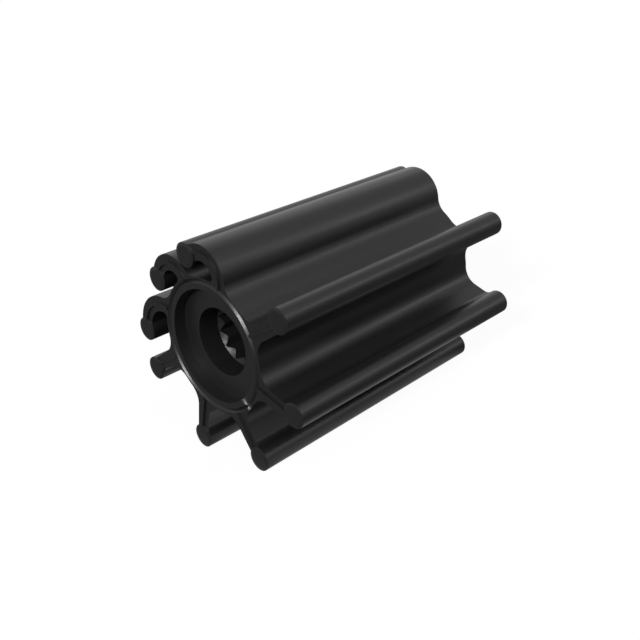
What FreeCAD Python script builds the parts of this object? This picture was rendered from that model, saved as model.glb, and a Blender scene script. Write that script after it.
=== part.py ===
import FreeCAD, Part
import math
import os

# Flexible pump impeller: a moulded rubber body with eight vanes on a hard splined hub.
# Frame in millimetres: the hub axis is Y, the front end faces -Y and +Z is up.
# The origin is on the axis at mid length. The impeller lies on the beads of two vanes.

# Overall sizes
TIP_RADIUS = 32.3            # from the axis to the outside of a straight vane's bead
LENGTH = 78.0                # between the two ends of a bead
VANES = 8
PITCH_DEG = 360.0 / VANES
FIRST_BEAD_DEG = -22.5       # bead of vane 0; two beads then lie level at the bottom

# Hard hub
HUB_RADIUS = 16.5            # where rubber and hub are bonded
END_DROP = 0.5               # end faces of hub and rubber lie this far below the bead ends
HUB_EDGE_BEVEL = 0.6
RIM_WALL = 2.05              # ring between the recess and the hub's outside
RECESS_DEPTH = 3.25          # from the hub's end face
BORE_RADIUS = 8.75
SPLINE_DEPTH = 9.0           # from the hub's end face to where the teeth start
SPLINE_TEETH = 13
SPLINE_ROOT_RADIUS = 8.7
SPLINE_CREST_RADIUS = 7.55
SPLINE_CREST_HALF_DEG = 2.2  # half width of a tooth's flat top, seen from the axis
SPLINE_TOOTH_DEG = 199.8     # direction of one tooth

# Notch across the front ring
NOTCH_DEG = -50.0
NOTCH_HALF_WIDTH = 0.72
NOTCH_DEPTH = 0.72

# Rubber body
SLEEVE_WALL = 1.0            # rubber over the hub between two vanes
RUBBER_EDGE_BEVEL = 0.58
BEAD_RADIUS = 3.15
BEAD_BEVEL_ACROSS = 0.9      # shallow bevel round the end of a bead
BEAD_BEVEL_ALONG = 0.2
RIB_WIDTH = 0.8              # thin raised rib along the middle of a vane's end
WEB_OFFSET = 0.9             # a vane lies this far clockwise of the line from axis to bead
WEB_ROOT_HALF = 2.5          # half thickness of a straight vane at the hub
WEB_TIP_HALF = 1.5           # and at its bead
ROOT_FILLET = 5.0
SHALLOW_BEAD_FILLET = 1.2    # on the side that the vane is offset to
DEEP_BEAD_FILLET = 2.2

# Vanes set over by the pump housing, counted from the first one above the front's right side:
# straight run from the hub, bend radius, bend angle and straight run to the bead
CURLED = {
    2: (0.65, 5.95, 128.6, 3.2),
    3: (0.8, 5.7, 131.4, 1.85),
    4: (0.8, 8.25, 100.0, 1.7),
}
CURLED_HALF = 2.05           # half thickness of these vanes
CURLED_INNER_FILLET = 1.2
CURLED_BEAD_FILLET = 0.8

HALF_LENGTH = LENGTH / 2.0
RECESS_RADIUS = HUB_RADIUS - RIM_WALL
SLEEVE_RADIUS = HUB_RADIUS + SLEEVE_WALL
BEAD_CIRCLE = TIP_RADIUS - BEAD_RADIUS
AXIS = FreeCAD.Vector(0, 1, 0)
CLEAR = 1.0                  # how far cutting tools run past what they cut
TOUCH = 0.05                 # places closer than this are the same place


def place(across, up, along=0.0):
    """A point given as seen from the front, with its distance behind the middle."""
    return FreeCAD.Vector(across, along, up)


def polar(radius, degrees):
    """A point of the end view given by radius and direction."""
    turn = math.radians(degrees)
    return place(radius * math.cos(turn), radius * math.sin(turn))


def left_of(direction):
    """The direction a quarter turn counter-clockwise in the end view."""
    return place(-direction.z, direction.x)


def bar(radius, drop, centre=place(0, 0)):
    """Round bar along the hub axis, shorter than the beads by drop at each end."""
    start = centre + place(0, 0, drop - HALF_LENGTH)
    return Part.makeCylinder(radius, LENGTH - 2.0 * drop, start, AXIS)


def prism(edges, drop):
    """Closed outline of the end view drawn out along the hub axis."""
    face = Part.Face(Part.Wire(Part.__sortEdges__(edges)))
    face.translate(place(0, 0, drop - HALF_LENGTH))
    return face.extrude(AXIS * (LENGTH - 2.0 * drop))


def front_cone(front_radius, back_radius, depth, start_drop, centre=place(0, 0)):
    """Cone along the axis whose larger or smaller end faces the front."""
    start = centre + place(0, 0, start_drop - HALF_LENGTH)
    return Part.makeCone(front_radius, back_radius, depth, start, AXIS)


def front_disc(radius, start_drop, end_drop):
    """Round slab on the axis between two distances from the front."""
    start = place(0, 0, start_drop - HALF_LENGTH)
    return Part.makeCylinder(radius, end_drop - start_drop, start, AXIS)


def both_ends(tools):
    """The tools, and their mirror images at the rear."""
    return tools + [tool.mirror(place(0, 0), AXIS) for tool in tools]


def bead_heading(vane):
    """Direction from the axis to where a vane's bead is, or would be if it weren't curled."""
    return polar(1.0, FIRST_BEAD_DEG + PITCH_DEG * vane)


def straight_web(vane, root_half, tip_half):
    """Edges of a straight vane in the end view, from the hub to beside its bead's centre."""
    out = bead_heading(vane)
    side = left_of(out)
    root = out * HUB_RADIUS - side * WEB_OFFSET
    tip = out * BEAD_CIRCLE - side * WEB_OFFSET
    corners = [root - side * root_half, tip - side * tip_half]
    corners += [tip + side * tip_half, root + side * root_half]
    ring = corners + corners[:1]
    return [Part.LineSegment(a, b).toShape() for a, b in zip(ring, ring[1:])]


def curled_middle(vane):
    """Middle line of a curled vane: root, bend centre and bead centre, and its end heading."""
    run, bend, turn, tail = CURLED[vane]
    out = bead_heading(vane)
    over = polar(1.0, FIRST_BEAD_DEG + PITCH_DEG * vane + turn)
    root = out * HUB_RADIUS - left_of(out) * WEB_OFFSET
    centre = root + out * run + left_of(out) * bend
    return root, centre, centre - left_of(over) * bend + over * tail, over


def curled_web(vane, half):
    """Edges of a curled vane in the end view, from the hub to its bead's centre."""
    run, bend, turn, tail = CURLED[vane]
    root, centre, bead, over = curled_middle(vane)
    out = bead_heading(vane)
    first_deg = FIRST_BEAD_DEG + PITCH_DEG * vane - 90.0
    near = [root + left_of(out) * offset for offset in (half, -half)]
    far = [bead + left_of(over) * offset for offset in (half, -half)]
    edges = [Part.LineSegment(*near).toShape(), Part.LineSegment(*far).toShape()]
    for start, end, radius in zip(near, far, (bend - half, bend + half)):
        arc = [centre + polar(radius, first_deg + turn * part) for part in (0.0, 0.5, 1.0)]
        edges.append(Part.LineSegment(start, arc[0]).toShape())
        edges.append(Part.Arc(*arc).toShape())
        edges.append(Part.LineSegment(arc[2], end).toShape())
    return edges


def web(vane, root_half, tip_half, curled_half):
    """Edges of any vane in the end view."""
    if vane in CURLED:
        return curled_web(vane, curled_half)
    return straight_web(vane, root_half, tip_half)


def bead_centre(vane):
    """Centre of a vane's bead."""
    if vane in CURLED:
        return curled_middle(vane)[2]
    return bead_heading(vane) * BEAD_CIRCLE


def long_edges(shape):
    """The edges of a shape that run along the hub axis, each with its place in the end view."""
    found = []
    for edge in shape.Edges:
        span = edge.BoundBox
        if span.YLength > HALF_LENGTH and max(span.XLength, span.ZLength) < TOUCH:
            found.append((edge, place(span.Center.x, span.Center.z)))
    return found


def inside_curl(vane, spot):
    """Whether a place near the hub lies on the side that a curled vane bends to."""
    root = curled_middle(vane)[0]
    return (spot - root).dot(left_of(bead_heading(vane))) > 0.0


def nearest_vane(spot):
    """The vane whose root is nearest to a place on the sleeve."""
    turn = math.degrees(math.atan2(spot.z, spot.x)) - FIRST_BEAD_DEG
    return round(turn / PITCH_DEG) % VANES


def round_roots(shape):
    """Fillets where the vanes leave the sleeve."""
    wide = []
    tight = []
    for edge, spot in long_edges(shape):
        if abs(spot.Length - SLEEVE_RADIUS) > TOUCH:
            continue
        vane = nearest_vane(spot)
        inner = vane in CURLED and inside_curl(vane, spot)
        (tight if inner else wide).append(edge)
    shape = shape.makeFillet(ROOT_FILLET, wide)
    return shape.makeFillet(CURLED_INNER_FILLET, refind(shape, tight))


def refind(shape, edges):
    """The same edges in a shape that has been changed elsewhere."""
    spots = [edge.BoundBox.Center for edge in edges]
    return [edge for edge, spot in long_edges(shape)
            if any(edge.BoundBox.Center.distanceToPoint(old) < TOUCH for old in spots)]


def round_beads(shape):
    """Fillets where the vanes meet their beads."""
    shallow = []
    deep = []
    curled = []
    for edge, spot in long_edges(shape):
        for vane in range(VANES):
            reach = spot - bead_centre(vane)
            if abs(reach.Length - BEAD_RADIUS) > TOUCH:
                continue
            offset_side = reach.dot(left_of(bead_heading(vane))) < 0.0
            (curled if vane in CURLED else shallow if offset_side else deep).append(edge)
    shape = shape.makeFillet(SHALLOW_BEAD_FILLET, shallow)
    shape = shape.makeFillet(DEEP_BEAD_FILLET, refind(shape, deep))
    return shape.makeFillet(CURLED_BEAD_FILLET, refind(shape, curled))


def bead(vane):
    """Full length bead of a vane, with a shallow bevel round each end."""
    centre = bead_centre(vane)
    ends = []
    flat = BEAD_RADIUS - BEAD_BEVEL_ACROSS
    ends.append(front_cone(flat, BEAD_RADIUS, BEAD_BEVEL_ALONG, 0.0, centre))
    ends.append(ends[0].mirror(place(0, 0), AXIS))
    return bar(BEAD_RADIUS, BEAD_BEVEL_ALONG, centre).multiFuse(ends)


def rib(vane):
    """Thin rib that runs through a vane and stands proud of its two ends."""
    half = RIB_WIDTH / 2.0
    return prism(web(vane, half, half, half), 0.0)


def notch():
    """Small V cut across the front ring, as a tool."""
    out = polar(1.0, NOTCH_DEG)
    side = left_of(out) * (NOTCH_HALF_WIDTH + CLEAR)
    face_y = END_DROP - HALF_LENGTH
    deep = place(0, 0, face_y + NOTCH_DEPTH)
    high = place(0, 0, face_y - CLEAR * NOTCH_DEPTH / NOTCH_HALF_WIDTH)
    start = out * (RECESS_RADIUS - CLEAR)
    ring = [start + deep, start + high - side, start + high + side, start + deep]
    length = HUB_RADIUS + RUBBER_EDGE_BEVEL - start.Length
    return Part.Face(Part.makePolygon(ring)).extrude(out * length)


def rubber_body():
    """Sleeve, eight vanes with beads and ribs, moulded in one piece round the hub."""
    vanes = range(VANES)
    webs = [prism(web(vane, WEB_ROOT_HALF, WEB_TIP_HALF, CURLED_HALF), END_DROP) for vane in vanes]
    webs += [bar(BEAD_RADIUS, END_DROP, bead_centre(vane)) for vane in vanes]
    body = bar(SLEEVE_RADIUS, END_DROP).multiFuse(webs).removeSplitter()
    body = round_beads(round_roots(body))
    raised = [bead(vane) for vane in vanes] + [rib(vane) for vane in vanes]
    body = body.multiFuse(raised)
    rim = HUB_RADIUS + RUBBER_EDGE_BEVEL
    groove = [front_disc(rim, -CLEAR, END_DROP)]
    groove.append(front_cone(rim, HUB_RADIUS, RUBBER_EDGE_BEVEL, END_DROP))
    tools = both_ends(groove) + [bar(HUB_RADIUS, -CLEAR), notch()]
    return body.cut(tools).removeSplitter()


def spline_hole():
    """Toothed hole along the whole hub, as a tool."""
    ring = []
    pitch = 360.0 / SPLINE_TEETH
    for tooth in range(SPLINE_TEETH):
        middle = SPLINE_TOOTH_DEG + pitch * tooth
        ring.append(polar(SPLINE_ROOT_RADIUS, middle - pitch / 2.0))
        ring.append(polar(SPLINE_CREST_RADIUS, middle - SPLINE_CREST_HALF_DEG))
        ring.append(polar(SPLINE_CREST_RADIUS, middle + SPLINE_CREST_HALF_DEG))
    ring.append(ring[0])
    return prism([Part.LineSegment(a, b).toShape() for a, b in zip(ring, ring[1:])], END_DROP)


def hub_insert():
    """Hard hub with a recess, a plain bore and a lead-in at each end of the spline."""
    hub = bar(HUB_RADIUS, END_DROP)
    end_edges = [edge for edge in hub.Edges if edge.BoundBox.YLength < TOUCH]
    hub = hub.makeChamfer(HUB_EDGE_BEVEL, end_edges)
    teeth_start = END_DROP + SPLINE_DEPTH
    lead_in = BORE_RADIUS - SPLINE_CREST_RADIUS + CLEAR
    front = [front_disc(RECESS_RADIUS, END_DROP - CLEAR, END_DROP + RECESS_DEPTH)]
    front.append(front_disc(BORE_RADIUS, END_DROP, teeth_start))
    front.append(front_cone(BORE_RADIUS, BORE_RADIUS - lead_in, lead_in, teeth_start))
    return hub.cut(both_ends(front) + [spline_hole(), notch()]).removeSplitter()


os.makedirs("parts", exist_ok=True)
for name, solid in (("rubber_body", rubber_body()), ("hub_insert", hub_insert())):
    box = solid.BoundBox
    print(name, solid.isValid(), len(solid.Solids), "solid,", round(solid.Volume / 1000.0, 2), "cm3")
    print("  x", round(box.XMin, 2), round(box.XMax, 2), " y", round(box.YMin, 2), round(box.YMax, 2),
          " z", round(box.ZMin, 2), round(box.ZMax, 2))
    solid.exportStep("parts/" + name + ".step")
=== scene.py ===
import math

import bpy
from bpy.props import FloatProperty, FloatVectorProperty, PointerProperty
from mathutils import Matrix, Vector


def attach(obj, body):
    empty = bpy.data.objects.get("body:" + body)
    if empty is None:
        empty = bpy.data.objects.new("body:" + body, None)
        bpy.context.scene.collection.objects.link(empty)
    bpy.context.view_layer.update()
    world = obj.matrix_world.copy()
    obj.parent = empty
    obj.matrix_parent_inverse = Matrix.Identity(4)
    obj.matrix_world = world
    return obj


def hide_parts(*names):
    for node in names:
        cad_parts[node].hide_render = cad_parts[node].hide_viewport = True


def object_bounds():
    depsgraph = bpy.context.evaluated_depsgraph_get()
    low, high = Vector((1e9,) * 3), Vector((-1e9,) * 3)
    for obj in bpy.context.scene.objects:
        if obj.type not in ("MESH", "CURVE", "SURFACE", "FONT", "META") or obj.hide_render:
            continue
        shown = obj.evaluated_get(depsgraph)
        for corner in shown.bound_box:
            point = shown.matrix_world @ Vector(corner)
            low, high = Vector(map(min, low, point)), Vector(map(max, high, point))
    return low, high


bl_info = {
    "name": "Flexible Pump Impeller",
    "version": (1, 0, 0),
    "blender": (4, 5, 0),
    "location": "View3D > Sidebar > Impeller",
    "description": "Dresses the impeller's rubber moulding and splined hub and sets up a studio",
    "category": "Object",
}

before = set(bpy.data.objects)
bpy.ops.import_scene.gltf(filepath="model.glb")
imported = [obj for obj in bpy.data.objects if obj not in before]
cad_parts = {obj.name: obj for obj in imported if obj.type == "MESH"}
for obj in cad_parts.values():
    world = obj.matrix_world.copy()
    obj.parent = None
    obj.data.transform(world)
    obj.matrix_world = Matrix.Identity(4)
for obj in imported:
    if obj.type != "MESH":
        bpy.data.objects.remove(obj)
CAD_LOW, CAD_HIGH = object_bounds()

MM = 0.001
WHITE = (1.0, 1.0, 1.0, 1.0)

# Where the photograph was taken from: place in metres, angles in degrees, lens and sensor, and the
# nearest that is shown
CAMERA_PLACE = (0.15701, -0.14175, 0.07070)
CAMERA_TURN_DEG = (69.674, 8.122, 45.573)
CAMERA_LENS_MM = 47.172
CAMERA_SENSOR_MM = 36.0
CAMERA_NEAREST = 10.0 * MM

# Meshes: how near corners are merged, how flat joined faces are, how near the ends of the beads a face
# lies on them, the sharpest turn that is still part of a curve, and the steps of a rounded edge
MERGE = 0.001 * MM
FLAT_DEG = 0.5
END_REACH = 0.01 * MM
CURVE_DEG = 32.0
EDGE_STEPS = 2

# The notch in the front rim, as a round groove that runs out through the rubber beside it: angle from
# +X towards +Z, start and end from the bore's axis, radius, and how far its centre is before the face
NOTCH_DEG = -51.0
NOTCH_FROM = 14.3 * MM
NOTCH_TO = 18.2 * MM
NOTCH_RADIUS = 1.25 * MM
NOTCH_OUT = 0.45 * MM
NOTCH_STEPS = 32
BEADS_OUT = 0.5 * MM    # the beads end this far past the face
FRONT_FACE = CAD_LOW.y + BEADS_OUT

# Surfaces: where most of a noise's values lie, and how far the streaks change the roughness
NOISE_LOW, NOISE_HIGH = 0.3, 0.7
ROUGHNESS_SWING = 0.04

# Floor: half the sides of the painted pool of light under the impeller, which only the gloss sees, and
# the shares of them where it fades out
LIGHT_POOL_HALF = (36.0 * MM, 39.0 * MM, 1.0)
LIGHT_POOL_FADE = (0.85, 1.1)

# Soft lights far off: azimuth from -Y towards +X, height and width in the sky in degrees, and level,
# where 1 lights white paper that faces the light to plain white
LIGHTS = {
    "key_light": (23.0, 25.0, 8.0, 0.68),
    "front_right_light": (45.0, 40.0, 60.0, 0.15),
    "right_light": (90.0, 40.0, 70.0, 0.18),
    "back_right_light": (137.0, 20.0, 12.0, 0.033),
    "back_left_light": (-134.0, 14.0, 20.0, 0.006),
    "left_light": (-134.0, 32.0, 50.0, 0.07),
}


def linear(hex_colour):
    """Linear red, green and blue of an sRGB hex colour."""
    parts = [int(hex_colour[i:i + 2], 16) / 255.0 for i in (1, 3, 5)]
    return tuple(c / 12.92 if c <= 0.04045 else ((c + 0.055) / 1.055) ** 2.4 for c in parts)


def add_node(tree, kind, inputs=None, **settings):
    """Adds a node with its settings. An input is a value, or a socket that is linked in."""
    node = tree.nodes.new(kind)
    for name, value in settings.items():
        setattr(node, name, value)
    for key, value in (inputs or {}).items():
        if isinstance(value, bpy.types.NodeSocket):
            tree.links.new(value, node.inputs[key])
        else:
            node.inputs[key].default_value = value
    return node


def new_material(name):
    """An empty node material and its tree."""
    material = bpy.data.materials.new(name)
    material.use_nodes = True
    material.node_tree.nodes.clear()
    return material, material.node_tree


def moulded(name, settings, ior, stretch):
    """A black moulded surface: two shades in soft clouds, fine grain, and streaks along the bore.

    stretch is how much longer than wide the streaks are.
    """
    material, tree = new_material(name)
    place = add_node(tree, "ShaderNodeTexCoord").outputs["Object"]
    flow = add_node(tree, "ShaderNodeMapping", {"Vector": place, "Scale": (1.0, 1.0 / stretch, 1.0)})
    grain = add_node(tree, "ShaderNodeTexNoise",
                     {"Vector": place, "Scale": 1.0 / settings.grain_size, "Detail": 3.0})
    streaks = add_node(tree, "ShaderNodeTexNoise",
                       {"Vector": flow.outputs[0], "Scale": 1.0 / settings.streak_width, "Detail": 2.0})
    clouds = add_node(tree, "ShaderNodeTexNoise",
                      {"Vector": place, "Scale": 1.0 / settings.cloud_size, "Detail": 4.0})
    # Mix's sockets share names between kinds of data, so its colours go in by index
    colour = add_node(tree, "ShaderNodeMix",
                      {0: clouds.outputs[0],
                       6: (*settings.colour, 1.0), 7: (*settings.haze_colour, 1.0)},
                      data_type="RGBA")
    rough = add_node(tree, "ShaderNodeMapRange",
                     {"Value": streaks.outputs[0], "From Min": NOISE_LOW, "From Max": NOISE_HIGH,
                      "To Min": settings.roughness - ROUGHNESS_SWING,
                      "To Max": settings.roughness + ROUGHNESS_SWING})
    relief = add_node(tree, "ShaderNodeBump",
                      {"Height": grain.outputs[0], "Strength": 1.0, "Distance": settings.grain_depth})
    relief = add_node(tree, "ShaderNodeBump",
                      {"Height": streaks.outputs[0], "Strength": 1.0,
                       "Distance": settings.streak_depth, "Normal": relief.outputs[0]})
    surface = add_node(tree, "ShaderNodeBsdfPrincipled",
                       {"Base Color": colour.outputs[2], "Roughness": rough.outputs[0], "IOR": ior,
                        "Normal": relief.outputs[0]})
    add_node(tree, "ShaderNodeOutputMaterial", {"Surface": surface.outputs[0]})
    return material


def nitrile_rubber(settings):
    """Black nitrile rubber, compression moulded in a polished tool.

    To the eye it is a deep neutral black with a soft satin sheen. A fine grain breaks the
    highlights up, and the draw of the tool leaves faint streaks along the vanes.
    """
    return moulded("nitrile_rubber_moulded", settings, 1.55, 60.0)


def polyamide(settings):
    """Black glass-filled polyamide, injection moulded.

    To the eye it is a hard black with a slightly tighter sheen than the rubber and a finer grain.
    """
    return moulded("polyamide_injection_moulded", settings, 1.55, 20.0)


def alone(thing):
    """Makes an object the only one that is selected, and the active one."""
    bpy.ops.object.select_all(action="DESELECT")
    thing.select_set(True)
    bpy.context.view_layer.objects.active = thing


def merged_copy(node, name):
    """A copy of a CAD node's mesh, merged into one closed skin of flat faces."""
    piece = bpy.data.objects.new(name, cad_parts[node].data.copy())
    bpy.context.collection.objects.link(piece)
    alone(piece)
    bpy.ops.mesh.customdata_custom_splitnormals_clear()
    bpy.ops.object.mode_set(mode="EDIT")
    bpy.ops.mesh.select_all(action="SELECT")
    bpy.ops.mesh.remove_doubles(threshold=MERGE)
    bpy.ops.mesh.dissolve_limited(angle_limit=math.radians(FLAT_DEG))
    bpy.ops.object.mode_set(mode="OBJECT")
    return piece


def keep_end_edges(piece):
    """Keeps the edge crisp where the flat end of a bead turns into its shallow bevel."""
    alone(piece)
    bpy.ops.object.mode_set(mode="EDIT")
    bpy.ops.mesh.select_mode(type="FACE")
    bpy.ops.mesh.select_all(action="DESELECT")
    bpy.ops.object.mode_set(mode="OBJECT")
    for face in piece.data.polygons:
        face.select = abs(face.center.y) > CAD_HIGH.y - END_REACH
    bpy.ops.object.mode_set(mode="EDIT")
    bpy.ops.mesh.region_to_loop()
    bpy.ops.mesh.mark_sharp()
    bpy.ops.object.mode_set(mode="OBJECT")


def cut_groove(piece):
    """Cuts the notch's groove out of a piece."""
    turn = math.radians(NOTCH_DEG)
    out = Vector((math.cos(turn), 0.0, math.sin(turn)))
    middle = out * (NOTCH_FROM + NOTCH_TO) / 2.0 + Vector((0.0, FRONT_FACE - NOTCH_OUT, 0.0))
    bpy.ops.object.select_all(action="DESELECT")
    bpy.ops.mesh.primitive_cylinder_add(
        vertices=NOTCH_STEPS, radius=NOTCH_RADIUS, depth=NOTCH_TO - NOTCH_FROM,
        location=middle, rotation=out.to_track_quat("Z", "Y").to_euler())
    tool = bpy.context.active_object
    alone(piece)
    bpy.ops.object.modifier_add(type="BOOLEAN")
    cut = piece.modifiers[-1]
    cut.operation = "DIFFERENCE"
    cut.solver = "EXACT"
    cut.object = tool
    bpy.ops.object.modifier_apply(modifier=cut.name)
    alone(tool)
    bpy.ops.object.delete()


def round_edges(piece, radius):
    """Rounds each edge that is no part of a curve, and shades the skin smooth elsewhere."""
    alone(piece)
    bpy.ops.object.modifier_add(type="BEVEL")
    bevel = piece.modifiers[-1]
    bevel.width = radius
    bevel.segments = EDGE_STEPS
    bevel.limit_method = "ANGLE"
    bevel.angle_limit = math.radians(CURVE_DEG)
    bevel.loop_slide = False
    bpy.ops.object.modifier_apply(modifier=bevel.name)
    bpy.ops.object.shade_smooth_by_angle(angle=math.radians(CURVE_DEG))
    bpy.ops.object.modifier_add(type="WEIGHTED_NORMAL")
    weighted = piece.modifiers[-1]
    weighted.keep_sharp = True
    bpy.ops.object.modifier_apply(modifier=weighted.name)


def finish_piece(piece, material, node):
    """Gives a piece its only material, and lets it stand for its CAD node."""
    piece.data.materials.clear()
    piece.data.materials.append(material)
    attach(piece, "root")
    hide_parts(node)


def surface_group(colour, haze, roughness, grain, edge):
    """The settings that both moulded surfaces have, with their own defaults."""
    return {
        "colour": FloatVectorProperty(
            name="Colour", description="Main colour of the surface", subtype="COLOR",
            size=3, min=0.0, max=1.0, default=linear(colour)),
        "haze_colour": FloatVectorProperty(
            name="Haze", description="Colour of the palest clouds on the surface", subtype="COLOR",
            size=3, min=0.0, max=1.0, default=linear(haze)),
        "roughness": FloatProperty(
            name="Roughness", description="0 is a mirror and 1 is matt", subtype="FACTOR",
            min=0.0, max=1.0, default=roughness),
        "grain_size": FloatProperty(
            name="Grain size", description="Width of one grain of the surface", unit="LENGTH",
            min=0.01 * MM, default=grain * MM),
        "grain_depth": FloatProperty(
            name="Grain depth", description="Height of the grain", unit="LENGTH",
            min=0.0, default=0.004 * MM),
        "streak_width": FloatProperty(
            name="Streak width", description="Width of the streaks along the bore", unit="LENGTH",
            min=0.01 * MM, default=0.9 * MM),
        "streak_depth": FloatProperty(
            name="Streak depth", description="Height of the streaks", unit="LENGTH",
            min=0.0, default=0.003 * MM),
        "cloud_size": FloatProperty(
            name="Cloud size", description="Width of the clouds of haze", unit="LENGTH",
            min=0.01 * MM, default=9.0 * MM),
        "edge_radius": FloatProperty(
            name="Edge radius", description="Rounding of the sharp edges", unit="LENGTH",
            min=0.01 * MM, default=edge * MM),
    }


class IMPELLER_rubber(bpy.types.PropertyGroup):
    """Colours and sizes of the rubber moulding."""

    __annotations__ = surface_group("#171717", "#1C1C1C", 0.38, 0.22, 0.06)


class IMPELLER_hub(bpy.types.PropertyGroup):
    """Colours and sizes of the splined hub."""

    __annotations__ = surface_group("#1A1A1A", "#1F1F1F", 0.37, 0.16, 0.05)


class IMPELLER_studio(bpy.types.PropertyGroup):
    """Colours and levels of the studio."""

    floor_colour: FloatVectorProperty(
        name="Floor", description="Colour of the floor", subtype="COLOR",
        size=3, min=0.0, max=1.0, default=linear("#5A5A5A"))
    floor_lift: FloatProperty(
        name="Floor lift", description="How much whiter the eye sees the floor", min=0.0, default=0.945)
    floor_size: FloatProperty(
        name="Floor size", description="Length of the floor's sides", unit="LENGTH",
        min=0.5, default=12.0)
    ambient: FloatProperty(
        name="Ambient level", description="Light that comes from all round", min=0.0, default=0.03)
    gloss_share: FloatProperty(
        name="Gloss share", description="How much of the white backdrop the gloss shows",
        subtype="FACTOR", min=0.0, max=1.0, default=0.44)
    # Painted pool of light: how pale the floor under the impeller glows in the gloss
    light_pool_share: FloatProperty(
        name="Gloss share below", description="How white the gloss shows the floor under the impeller",
        subtype="FACTOR", min=0.0, max=1.0, default=0.5)
    floor_share: FloatProperty(
        name="Gloss share of the floor", description="How white the gloss shows the rest of the floor",
        subtype="FACTOR", min=0.0, max=1.0, default=0.095)


class IMPELLER_OT_rubber_moulding(bpy.types.Operator):
    """Makes the rubber moulding: sleeve, vanes, beads and ribs in one skin with soft edges"""

    bl_idname = "impeller.rubber_moulding"
    bl_label = "Rubber Moulding"

    def execute(self, context):
        settings = context.scene.impeller_rubber
        piece = merged_copy("rubber_body", "rubber_moulding")
        cut_groove(piece)
        keep_end_edges(piece)
        round_edges(piece, settings.edge_radius)
        finish_piece(piece, nitrile_rubber(settings), "rubber_body")
        return {"FINISHED"}


class IMPELLER_OT_splined_hub(bpy.types.Operator):
    """Makes the splined hub: recesses, bore mouths and teeth with crisp, slightly broken edges"""

    bl_idname = "impeller.splined_hub"
    bl_label = "Splined Hub"

    def execute(self, context):
        settings = context.scene.impeller_hub
        piece = merged_copy("hub_insert", "splined_hub")
        cut_groove(piece)
        round_edges(piece, settings.edge_radius)
        finish_piece(piece, polyamide(settings), "hub_insert")
        return {"FINISHED"}


def white_for_eye(tree, gloss_share):
    """How white a ray sees the backdrop: camera and glass rays fully, glossy rays by a share."""
    path = add_node(tree, "ShaderNodeLightPath")
    gloss = add_node(tree, "ShaderNodeMath",
                     {0: path.outputs["Is Glossy Ray"], 1: gloss_share}, operation="MULTIPLY")
    seen = add_node(tree, "ShaderNodeMath",
                    {0: path.outputs["Is Camera Ray"], 1: path.outputs["Is Transmission Ray"]},
                    operation="MAXIMUM")
    return add_node(tree, "ShaderNodeMath", {0: gloss.outputs[0], 1: seen.outputs[0]},
                    operation="MAXIMUM").outputs[0]


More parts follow.
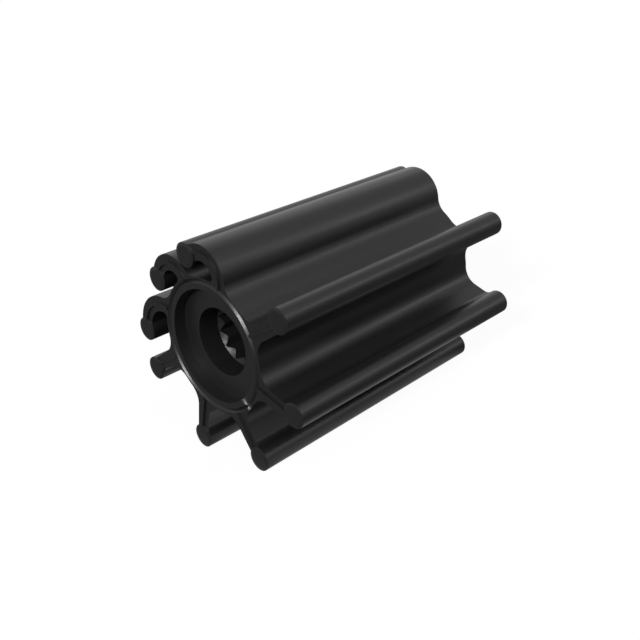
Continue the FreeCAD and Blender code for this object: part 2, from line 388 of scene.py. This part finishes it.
class IMPELLER_OT_studio(bpy.types.Operator):
    """Sets up the floor and surroundings that look white, the soft lights and the camera"""

    bl_idname = "impeller.studio"
    bl_label = "Studio"

    def execute(self, context):
        settings = context.scene.impeller_studio
        self.floor(settings)
        self.surroundings(context, settings)
        for name, values in LIGHTS.items():
            self.soft_light(name, *values)
        self.camera(context)
        context.scene.view_settings.view_transform = "Standard"
        return {"FINISHED"}

    def floor(self, settings):
        """A grey floor that the impeller rests on. The eye sees it white, with the soft shadow. In the
        gloss it glows as a painted pool of light under the impeller.
        """
        bpy.ops.object.select_all(action="DESELECT")
        bpy.ops.mesh.primitive_plane_add(size=settings.floor_size, location=(0.0, 0.0, CAD_LOW.z))
        plane = bpy.context.active_object
        plane.name = "studio_floor"
        material, tree = new_material("painted_floor")
        matt = add_node(tree, "ShaderNodeBsdfDiffuse", {"Color": (*settings.floor_colour, 1.0)})
        # How far out a point of the floor is from the middle of the painted pool of light, where 1 is
        # the pool's rim
        place = add_node(tree, "ShaderNodeTexCoord").outputs["Object"]
        out = add_node(tree, "ShaderNodeVectorMath", {0: place}, operation="ABSOLUTE").outputs[0]
        out = add_node(tree, "ShaderNodeVectorMath", {0: out, 1: LIGHT_POOL_HALF}, operation="DIVIDE")
        out = add_node(tree, "ShaderNodeSeparateXYZ", {0: out.outputs[0]}).outputs
        out = add_node(tree, "ShaderNodeMath", {0: out["X"], 1: out["Y"]}, operation="MAXIMUM")
        # Painted pool of light: the gloss sees the floor glow pale under the impeller and dim further
        # out
        share = add_node(tree, "ShaderNodeMapRange",
                         {"Value": out.outputs[0], "From Min": LIGHT_POOL_FADE[0], "From Max": LIGHT_POOL_FADE[1],
                          "To Min": settings.light_pool_share, "To Max": settings.floor_share})
        # The floor's glow: plain white for the eye, and in the gloss a painted pool of light under the
        # impeller
        lift_and_light_pool = add_node(tree, "ShaderNodeMath",
                        {0: white_for_eye(tree, share.outputs[0]), 1: settings.floor_lift},
                        operation="MULTIPLY")
        lift_and_light_pool = add_node(tree, "ShaderNodeEmission", {"Color": WHITE, "Strength": lift_and_light_pool.outputs[0]})
        both = add_node(tree, "ShaderNodeAddShader", {0: matt.outputs[0], 1: lift_and_light_pool.outputs[0]})
        add_node(tree, "ShaderNodeOutputMaterial", {"Surface": both.outputs[0]})
        plane.data.materials.append(material)

    def surroundings(self, context, settings):
        """A world that the eye sees white, and the gloss by a share. It lights the impeller faintly."""
        world = bpy.data.worlds.new("studio_surroundings")
        context.scene.world = world
        world.use_nodes = True
        tree = world.node_tree
        tree.nodes.clear()
        seen = white_for_eye(tree, settings.gloss_share)
        dim = add_node(tree, "ShaderNodeBackground", {"Color": WHITE, "Strength": settings.ambient})
        white = add_node(tree, "ShaderNodeBackground", {"Color": WHITE, "Strength": 1.0})
        mixed = add_node(tree, "ShaderNodeMixShader",
                         {0: seen, 1: dim.outputs[0], 2: white.outputs[0]})
        add_node(tree, "ShaderNodeOutputWorld", {"Surface": mixed.outputs[0]})

    def soft_light(self, name, azimuth, height, width, level):
        """A wide round light far off, so that it is as bright all over the floor."""
        turn, rise = math.radians(azimuth), math.radians(height)
        flat = math.cos(rise)
        way = Vector((math.sin(turn) * flat, -math.cos(turn) * flat, math.sin(rise)))
        bpy.ops.object.light_add(type="SUN", location=way)
        lamp = bpy.context.active_object
        lamp.name = name
        lamp.rotation_euler = way.to_track_quat("Z", "Y").to_euler()
        lamp.data.angle = math.radians(width)
        lamp.data.energy = level * math.pi

    def camera(self, context):
        """The camera at the photograph's place, angle and lens."""
        bpy.ops.object.camera_add(location=CAMERA_PLACE,
                                  rotation=[math.radians(angle) for angle in CAMERA_TURN_DEG])
        camera = bpy.context.active_object
        camera.data.lens = CAMERA_LENS_MM
        camera.data.sensor_width = CAMERA_SENSOR_MM
        camera.data.clip_start = CAMERA_NEAREST
        context.scene.camera = camera


class IMPELLER_PT_sidebar(bpy.types.Panel):
    """Lists the steps that dress the impeller"""

    bl_label = "Impeller"
    bl_space_type = "VIEW_3D"
    bl_region_type = "UI"
    bl_category = "Impeller"

    def draw(self, context):
        layout = self.layout
        for operator, settings in STEPS:
            layout.operator(operator.bl_idname)
            group = getattr(context.scene, settings)
            for name in group.__annotations__:
                layout.prop(group, name)


STEPS = (
    (IMPELLER_OT_rubber_moulding, "impeller_rubber"),
    (IMPELLER_OT_splined_hub, "impeller_hub"),
    (IMPELLER_OT_studio, "impeller_studio"),
)
GROUPS = {
    "impeller_rubber": IMPELLER_rubber,
    "impeller_hub": IMPELLER_hub,
    "impeller_studio": IMPELLER_studio,
}
CLASSES = (*GROUPS.values(), *(operator for operator, settings in STEPS), IMPELLER_PT_sidebar)


def register():
    for item in CLASSES:
        bpy.utils.register_class(item)
    for name, group in GROUPS.items():
        setattr(bpy.types.Scene, name, PointerProperty(type=group))


def unregister():
    for name in GROUPS:
        delattr(bpy.types.Scene, name)
    for item in reversed(CLASSES):
        bpy.utils.unregister_class(item)


def main():
    """Registers the classes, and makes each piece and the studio."""
    register()
    bpy.ops.impeller.rubber_moulding()
    bpy.ops.impeller.splined_hub()
    bpy.ops.impeller.studio()


if __name__ == "__main__":
    main()
